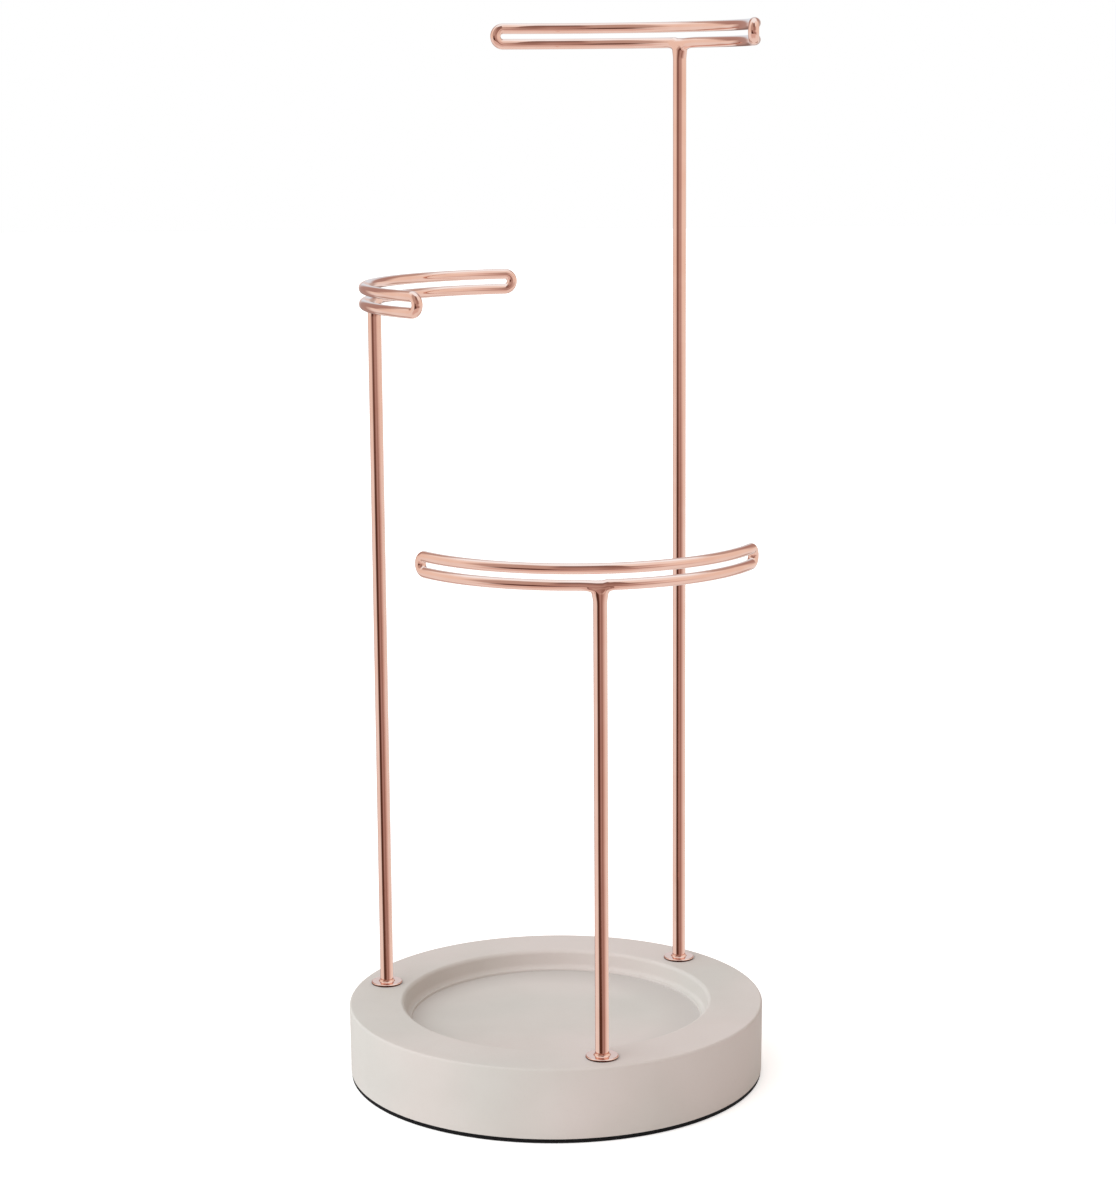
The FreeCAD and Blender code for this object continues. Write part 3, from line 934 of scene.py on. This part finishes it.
def make_flange(arm):
    """Thin brazed disc with a rounded edge, whose top sweeps up into a neck round the post."""
    outline = [(FLANGE_BORE, BASE_TOP)]
    outline += rounded([
        (FLANGE_RADIUS - FLANGE_CHAMFER, BASE_TOP),
        (FLANGE_RADIUS, BASE_TOP + FLANGE_CHAMFER, FLANGE_CHAMFER / 2),
        (FLANGE_RADIUS, BASE_TOP + FLANGE_RISE - FLANGE_FALL, FLANGE_ROUND),
        (NECK_RADIUS + NECK_SPREAD, BASE_TOP + FLANGE_RISE),
    ], steps=8)[:-1]
    sweep = (NECK_TOP - BASE_TOP - FLANGE_RISE) / math.cos(math.radians(NECK_START))
    for step in range(NECK_STEPS + 1):
        angle = math.radians(NECK_START + (90 - NECK_START) * step / NECK_STEPS)
        outline.append((NECK_RADIUS + sweep * (1 - math.sin(angle)), NECK_TOP - sweep * math.cos(angle)))
    outline.append((FLANGE_BORE, NECK_TOP))
    mesh = turned("flange", outline)
    name = "flange_ring_" + arm
    piece(name, mesh, arm_place(arm), "arm_" + arm, COPPER, "copper_plate", "flange_" + arm, mirrored=True)


def make_sleeve(arm):
    """Sleeve in which the post turns, with a collar at its foot."""
    outline = rounded([
        (SOCKET_BORE, COLLAR_FOOT, FINE_ROUND),
        (COLLAR_RADIUS, COLLAR_FOOT, COLLAR_ROUND),
        (COLLAR_RADIUS, WELL_TOP, FINE_ROUND),
        (SOCKET_RADIUS, WELL_TOP),
        (SOCKET_RADIUS, SOCKET_TOP, SOCKET_TOP_ROUND),
        (SOCKET_BORE, SOCKET_TOP, SOCKET_MOUTH_ROUND),
    ], steps=4)
    mesh = turned("sleeve", outline)
    piece("sleeve_" + arm, mesh, arm_place(arm, False), "base", BRASS, "sleeve_brass", "socket_" + arm)


def make_flat_washer(arm):
    """Punched washer that bears on the sleeve's collar."""
    outline = rounded([
        (WASHER_BORE, LOCK_WASHER_TOP, WASHER_BURR_ROUND),
        (WASHER_RADIUS, LOCK_WASHER_TOP, WASHER_ROUND),
        (WASHER_RADIUS, WASHER_TOP, WASHER_DRAWN_ROUND),
        (WASHER_BORE, WASHER_TOP, WASHER_ROUND),
    ], steps=4)
    mesh = turned("flat washer", outline)
    piece("wide_washer_" + arm, mesh, arm_place(arm), "arm_" + arm, STEEL, "steel", "flat_washer_" + arm)


def make_lock_washer(arm):
    """Flat ring of square wire with a slanting cut through one side."""
    outline = rounded([
        (WASHER_BORE, HEAD_TOP, FINE_ROUND),
        (LOCK_WASHER_RADIUS, HEAD_TOP, FINE_ROUND),
        (LOCK_WASHER_RADIUS, LOCK_WASHER_TOP, FINE_ROUND),
        (WASHER_BORE, LOCK_WASHER_TOP, FINE_ROUND),
    ], steps=3)
    ring = turned("lock washer", outline)
    half = LOCK_WASHER_SPLIT / 2
    slant = SPLIT_SLANT / 2
    foot = HEAD_TOP - SPLIT_TOOL_PAST
    top = LOCK_WASHER_TOP + SPLIT_TOOL_PAST
    corners = [(-half - slant, foot), (half - slant, foot), (half + slant, top), (-half + slant, top)]
    points = []
    for x in (WASHER_BORE - SPLIT_TOOL_PAST, LOCK_WASHER_RADIUS + SPLIT_TOOL_PAST):
        points += [(x, side, height) for side, height in corners]
    faces = [(0, 1, 2, 3), (7, 6, 5, 4), (0, 4, 5, 1), (1, 5, 6, 2), (2, 6, 7, 3), (3, 7, 4, 0)]
    knife = polygon_mesh("cut", points, faces)
    face_outwards(knife)
    mesh = cut_away(ring, [knife])
    name = "spring_washer_" + arm
    piece(name, mesh, arm_place(arm), "arm_" + arm, STEEL, "steel", "lock_washer_" + arm)


def screw_tree():
    """Cap screw, head down: a knurled head with a hexagon in it, and a threaded shank."""
    tree = ShapeTree(
        "cap screw", Head_radius=HEAD_RADIUS, Head_height=float(HEAD_HEIGHT), Head_round=HEAD_ROUND,
        Head_round_height=HEAD_ROUND_HEIGHT, Knurls=KNURLS, Knurl_depth=KNURL_DEPTH, Key_width=KEY_WIDTH,
        Key_depth=KEY_DEPTH, Shank_radius=SCREW_RADIUS, Shank_length=float(SCREW_LENGTH),
        Thread_pitch=THREAD_PITCH, Thread_depth=THREAD_DEPTH, Point_chamfer=POINT_CHAMFER,
        Point_height=POINT_HEIGHT,
    )
    position = tree.add("GeometryNodeInputPosition")

    def drum(radius, depth, side_segments, around, foot=0.0):
        """Upright drum with its foot at a height."""
        inputs = {
            "Vertices": around, "Side Segments": side_segments, "Fill Segments": 1,
            "Radius": radius, "Depth": depth,
        }
        solid = tree.add("GeometryNodeMeshCylinder", inputs)
        half = tree.math("DIVIDE", depth, 2.0)
        return tree.move(solid, tree.vector(z=tree.math("ADD", half, foot)))

    def pull_in(solid, amount):
        """Moves points towards the Z axis by an amount."""
        flat = tree.add("ShaderNodeVectorMath", {0: position, 1: (1, 1, 0)}, operation="MULTIPLY")
        outward = tree.add("ShaderNodeVectorMath", {0: flat}, operation="NORMALIZE")
        inward = tree.math("MULTIPLY", amount, -1.0)
        offset = tree.add("ShaderNodeVectorMath", {0: outward, "Scale": inward}, operation="SCALE")
        return tree.add("GeometryNodeSetPosition", {"Geometry": solid, "Offset": offset})

    def wave(turns, depth):
        """Goes from 0 up to a depth and back once in each turn."""
        return tree.math("MULTIPLY", tree.math("MULTIPLY", tree.math("PINGPONG", turns, 0.5), 2.0), depth)

    parts = tree.tree.nodes.new("ShaderNodeSeparateXYZ")
    tree.feed(parts.inputs[0], position)
    x, y, z = parts.outputs
    turn = tree.math("DIVIDE", tree.math("ARCTAN2", y, x), 2 * math.pi)
    squares = tree.math("ADD", tree.math("MULTIPLY", x, x), tree.math("MULTIPLY", y, y))
    distance_out = tree.math("SQRT", squares)

    head_radius, head_height = tree.size("Head_radius"), tree.size("Head_height")
    head = drum(head_radius, head_height, HEAD_LAYERS, HEAD_SEGMENTS)
    knurl = wave(tree.math("MULTIPLY", turn, tree.size("Knurls")), tree.size("Knurl_depth"))
    at_edge = tree.math("GREATER_THAN", distance_out, tree.math("MULTIPLY", head_radius, HEAD_WALL_FROM))
    rounding = {0: z, 1: 0.0, 2: tree.size("Head_round_height"), 3: tree.size("Head_round"), 4: 0.0}
    edge_round = tree.add("ShaderNodeMapRange", rounding, interpolation_type="SMOOTHSTEP")
    head_in = tree.math("MULTIPLY", tree.math("ADD", knurl, edge_round), at_edge)
    head = pull_in(head, head_in)
    key_radius = tree.math("DIVIDE", tree.size("Key_width"), math.sqrt(3))
    key_length = tree.math("ADD", tree.size("Key_depth"), float(CUT_PAST))
    key = drum(key_radius, key_length, 1, 6, -float(CUT_PAST))
    pocket = tree.tree.nodes.new("GeometryNodeMeshBoolean")
    pocket.operation = "DIFFERENCE"
    pocket.solver = "EXACT"
    tree.feed(pocket.inputs[0], head)
    tree.feed(pocket.inputs[1], key)
    head = pocket.outputs[0]

    length = tree.size("Shank_length")
    shank_foot = tree.math("SUBTRACT", head_height, SHANK_IN_HEAD)
    shank_length = tree.math("ADD", length, SHANK_IN_HEAD)
    shank = drum(tree.size("Shank_radius"), shank_length, SHANK_LAYERS, SHANK_SEGMENTS, shank_foot)
    rise = tree.math("DIVIDE", z, tree.size("Thread_pitch"))
    groove = wave(tree.math("SUBTRACT", rise, turn), tree.size("Thread_depth"))
    above_head = tree.math("SUBTRACT", z, head_height)
    start, whole = THREAD_START
    started = tree.add("ShaderNodeMapRange", {0: above_head, 1: start, 2: whole, 3: 0.0, 4: 1.0})
    to_end = tree.math("SUBTRACT", length, above_head)
    point = {0: to_end, 1: 0.0, 2: tree.size("Point_height"), 3: tree.size("Point_chamfer"), 4: 0.0}
    end_in = tree.add("ShaderNodeMapRange", point)
    at_side = tree.math("GREATER_THAN", distance_out, SHANK_WALL_FROM)
    shank_in = tree.math("ADD", tree.math("MULTIPLY", groove, started), end_in)
    shank = pull_in(shank, tree.math("MULTIPLY", shank_in, at_side))
    tree.finish(tree.join(head, shank), STEEL)
    return tree


SCREWS = screw_tree()


def make_screw(arm):
    mesh = SCREWS.mesh()
    mesh.transform(Matrix.Translation((0, 0, HEAD_FOOT)))
    piece("cap_screw_" + arm, mesh, arm_place(arm), "arm_" + arm, STEEL, "steel", "screw_" + arm)


for arm in ARMS:
    make_flange(arm)
    make_sleeve(arm)
    make_flat_washer(arm)
    make_lock_washer(arm)
    make_screw(arm)


# ---- Studio

FLOOR_TONE = 0.9
FLOOR_LIFT = 0.48
# In metres. The floor lies a hair below the pad, so that the two never share a plane.
FLOOR_REACH = 6
FLOOR_GAP = 0.0001
# Soft light all round, how much brighter it is towards each side, and its warmer colour from the right: that
# grows between these two values of a direction's X, which is 1 straight to the right.
SKY_LEVEL = 0.87
SKY_LEAN = (-0.46, -0.02, 0)
SKY_WARMTH = (0.94, 0.74, 0.63)
SKY_WARM_FROM = (0.0, 0.6)
LAMP_LEVEL = 0.66
LAMP_FROM = (-0.62, -0.46, 0.63)
LAMP_WIDTH = 60

# What bright metal mirrors, layer by layer from the floor up: white walls and a bright ceiling, and a darker
# room in front of the stand. A layer says where it takes over from the one below, in degrees above level, and
# its tones round from behind the stand (-180) past its left to the camera's side (0) and on by its right.
BLACK = (0.10, 0.045, 0.03)
DEEP = (0.21, 0.12, 0.10)
DARK = (0.28, 0.20, 0.18)
DIM = (0.34, 0.23, 0.20)
HALF = (0.47, 0.34, 0.31)
SOFT = (0.56, 0.47, 0.43)
PALE = (0.76, 0.65, 0.62)
CREAM = (0.94, 0.91, 0.85)
WHITE = (0.93, 0.97, 0.97)
COOL = (0.77, 0.90, 0.99)
BRIGHT = (1.0, 1.08, 1.08)
CLEAR = (1.08, 1.42, 1.6)
MIRRORED = (
    (-66, -52, (
        (-156, WHITE), (-146, SOFT), (-132, SOFT), (-122, WHITE), (-78, WHITE), (-62, PALE), (34, PALE),
        (60, WHITE), (124, WHITE), (134, SOFT), (144, SOFT), (154, WHITE),
    )),
    (-24, -22, (
        (-172, DARK), (-162, HALF), (-146, HALF), (-134, WHITE), (-58, WHITE), (-40, BLACK), (-2, BLACK),
        (12, HALF), (22, HALF), (30, DIM), (36, DIM), (44, HALF), (62, PALE), (90, WHITE), (156, WHITE),
        (168, DARK),
    )),
    (-19, -16, (
        (-172, DARK), (-162, HALF), (-146, HALF), (-134, WHITE), (-62, WHITE), (-46, BLACK), (-20, BLACK),
        (-4, HALF), (8, HALF), (17, DIM), (26, DIM), (34, HALF), (44, SOFT), (58, PALE), (90, WHITE),
        (156, WHITE), (168, DARK),
    )),
    (-9, -4, (
        (-170, PALE), (-160, HALF), (-146, HALF), (-134, CREAM), (-70, CREAM), (-54, SOFT), (-40, DEEP),
        (-26, DEEP), (-14, HALF), (10, SOFT), (20, HALF), (26, SOFT), (34, PALE), (50, CREAM),
        (148, CREAM), (158, SOFT), (168, SOFT), (176, PALE),
    )),
    (3, 7, (
        (-170, COOL), (-160, HALF), (-130, HALF), (-116, CREAM), (-76, CREAM), (-62, SOFT), (-20, SOFT),
        (-12, HALF), (8, HALF), (18, DIM), (30, DIM), (36, SOFT), (48, PALE), (62, CREAM), (124, CREAM),
        (138, HALF), (160, HALF), (170, COOL),
    )),
    (28, 38, (
        (-170, COOL), (-160, SOFT), (-134, SOFT), (-124, BRIGHT), (-78, BRIGHT), (-62, SOFT), (-22, SOFT),
        (-14, DARK), (31, DARK), (34, BRIGHT), (112, BRIGHT), (124, SOFT), (160, SOFT), (170, COOL),
    )),
    (44, 52, (
        (-110, CLEAR), (-90, BRIGHT), (-78, BRIGHT), (-62, SOFT), (-22, SOFT), (-14, DARK), (31, DARK),
        (34, BRIGHT), (90, BRIGHT), (110, CLEAR),
    )),
    (64, 74, ((0, CLEAR),)),
)


def seen_directly(tree):
    """1 for what the camera or a shiny surface sees, and 0 for light that falls on matt surfaces."""
    paths = tree.tree.nodes.new("ShaderNodeLightPath").outputs
    seen = tree.math("MAXIMUM", paths["Is Camera Ray"], paths["Is Glossy Ray"])
    return tree.math("MAXIMUM", seen, paths["Is Transmission Ray"])


def make_floor():
    """White floor that keeps the stand's shadow. Where the camera, or a shiny surface, sees it, it is white.

    From below it is clear, which leaves the underside of the stand open to view.
    """
    signs = ((-1, -1), (1, -1), (1, 1), (-1, 1))
    corners = [(x * FLOOR_REACH, y * FLOOR_REACH, -FLOOR_GAP) for x, y in signs]
    floor = new_object("floor", polygon_mesh("floor", corners, [(0, 1, 2, 3)]))
    material = bpy.data.materials.new("studio white")
    material.use_nodes = True
    tree = Tree(material.node_tree)
    tree.tree.nodes.remove(tree.tree.nodes["Principled BSDF"])
    matt = tree.add("ShaderNodeBsdfDiffuse", {"Color": (FLOOR_TONE, FLOOR_TONE, FLOOR_TONE, 1)})
    lift = tree.math("MULTIPLY", seen_directly(tree), FLOOR_LIFT)
    glow = tree.add("ShaderNodeEmission", {"Color": (1, 1, 1, 1), "Strength": lift})
    white = tree.add("ShaderNodeAddShader", {0: matt, 1: glow})
    below = tree.add("ShaderNodeNewGeometry", out="Backfacing")
    surface = tree.add("ShaderNodeMixShader", {0: below, 1: white, 2: tree.add("ShaderNodeBsdfTransparent")})
    tree.feed(tree.tree.nodes["Material Output"].inputs["Surface"], surface)
    floor.data.materials.append(material)
    floor.visible_glossy = False


def tones(tree, share, stops):
    """Tone that goes from stop to stop as a share goes from -180 to 180 degrees."""
    node = tree.tree.nodes.new("ShaderNodeValToRGB")
    tree.feed(node.inputs[0], share)
    points = node.color_ramp.elements
    while len(points) > len(stops):
        points.remove(points[-1])
    while len(points) < len(stops):
        points.new(0.5)
    for point, (angle, tone) in zip(points, stops):
        point.position = (angle + 180) / 360
        point.color = (*tone, 1)
    return node.outputs[0]


def make_sky():
    """Even light all round. The camera sees it white, and shiny surfaces see the studio's walls."""
    world = bpy.data.worlds.new("studio light")
    bpy.context.scene.world = world
    world.use_nodes = True
    tree = Tree(world.node_tree)
    toward = tree.add("ShaderNodeTexCoord", out="Generated")
    way = tree.tree.nodes.new("ShaderNodeSeparateXYZ")
    tree.feed(way.inputs[0], toward)
    x, y, z = way.outputs
    round_about = tree.math("ARCTAN2", x, tree.math("MULTIPLY", y, -1.0))
    share = tree.math("ADD", tree.math("DIVIDE", round_about, 2 * math.pi), 0.5)
    height = tree.math("DEGREES", tree.math("ARCSINE", z))
    mirrored = (*WHITE, 1)
    for start, end, stops in MIRRORED:
        over = tree.add("ShaderNodeMapRange", {0: height, 1: start, 2: end, 3: 0.0, 4: 1.0})
        mirrored = tree.mix(over, mirrored, tones(tree, share, stops))
    shiny = tree.tree.nodes.new("ShaderNodeLightPath").outputs["Is Glossy Ray"]
    seen = seen_directly(tree)
    lean = tree.add("ShaderNodeVectorMath", {0: toward, 1: SKY_LEAN}, "Value", operation="DOT_PRODUCT")
    low = tree.math("MULTIPLY", tree.math("SUBTRACT", 1.0, seen), tree.math("ADD", lean, SKY_LEVEL))
    start, whole = SKY_WARM_FROM
    warm = tree.add("ShaderNodeMapRange", {0: x, 1: start, 2: whole, 3: 0.0, 4: 1.0})
    warmth = tree.mix(tree.math("SUBTRACT", warm, seen), (1, 1, 1, 1), (*SKY_WARMTH, 1))
    background = tree.tree.nodes["Background"]
    tree.feed(background.inputs["Color"], tree.mix(shiny, warmth, mirrored))
    tree.feed(background.inputs["Strength"], tree.math("ADD", low, seen))


def make_lamp():
    """Broad soft light from the left, the front and above."""
    data = bpy.data.lights.new("soft lamp", "SUN")
    data.energy = LAMP_LEVEL
    data.angle = math.radians(LAMP_WIDTH)
    lamp = new_object("soft lamp", data)
    lamp.rotation_mode = "QUATERNION"
    lamp.rotation_quaternion = Vector(LAMP_FROM).to_track_quat("Z", "Y")
    lamp.visible_glossy = False


make_floor()
make_sky()
make_lamp()
bpy.context.scene.view_settings.view_transform = "Standard"
